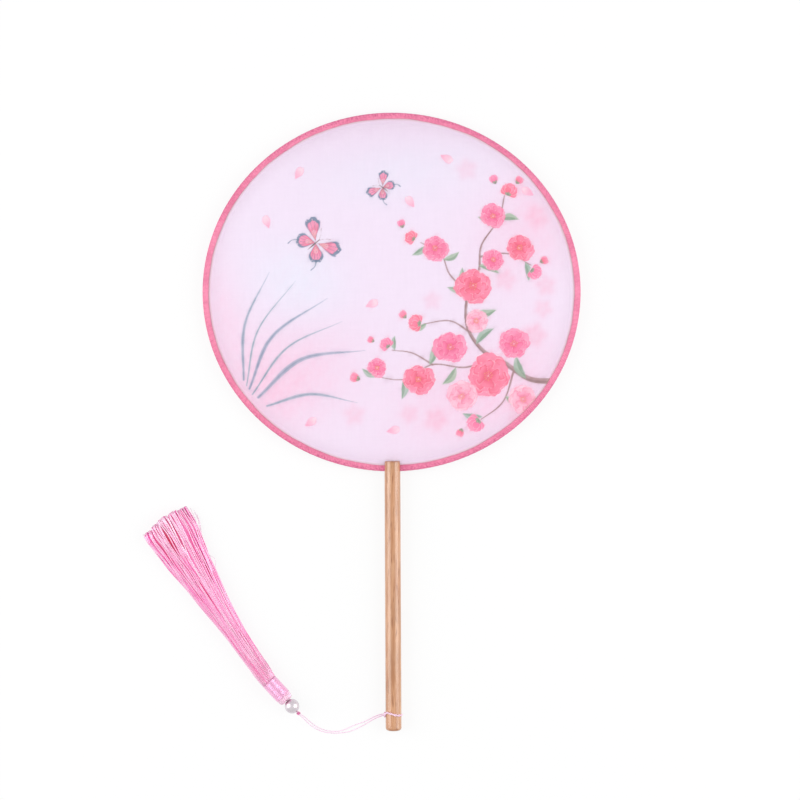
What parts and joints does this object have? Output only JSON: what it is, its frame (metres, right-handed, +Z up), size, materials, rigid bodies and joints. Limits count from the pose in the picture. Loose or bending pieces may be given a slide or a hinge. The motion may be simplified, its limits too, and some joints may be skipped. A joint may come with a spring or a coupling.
{
  "type": "round hand fan",
  "caption": "Round hand fan: silk stretched on a bound hoop, held in a split wooden handle, with a beaded cord and a long tassel.",
  "frame": {"origin": "on the surface that the fan lies on, under the middle of its outline without the cord, bead and tassel", "axes": "+X to the right across the face, +Y along the handle towards the face, +Z up out of the printed front"},
  "size_m": [0.3025, 0.4277, 0.0127],
  "materials": {
    "handle_wood": "plain beech, thin satin varnish",
    "bamboo": "bare bent bamboo",
    "printed_silk": "fine translucent silk, printed",
    "binding_tape": "folded satin tape",
    "cord": "twisted rayon cord",
    "pearl": "pearl lacquer",
    "tassel_yarn": "glossy rayon threads",
    "neck_thread": "glossy wound thread"
  },
  "bodies": {
    "fan": {"handle": "handle_wood", "hoop": "bamboo", "silk_leaf": "printed_silk", "edge_binding": "binding_tape", "cord_hitch": "cord", "cord_strand_a": "cord", "cord_strand_b": "cord"},
    "knot": {"stopper_knot": "cord"},
    "tassel": {"tassel_loop": "cord", "tassel_head": "tassel_yarn", "neck_wrap": "neck_thread", "tassel_skirt": "tassel_yarn"},
    "bead": {"pearl_bead": "pearl"}
  },
  "joints": [
    {"name": "tassel_swing", "type": "hinge", "parent": "fan", "child": "knot", "pos_m": [-0.0653, -0.20025, 0.00575], "axis": [0, 0, 1], "range_deg": [-30, 60]},
    {"name": "tassel_lift", "type": "hinge", "parent": "knot", "child": "tassel", "pos_m": [-0.0653, -0.20025, 0.00575], "axis": [0.7373, 0.6756, 0], "range_deg": [0, 80]},
    {"name": "bead_spin", "type": "hinge", "parent": "tassel", "child": "bead", "pos_m": [-0.06976, -0.19538, 0.00575], "axis": [-0.6756, 0.7373, 0], "continuous": true}
  ]
}
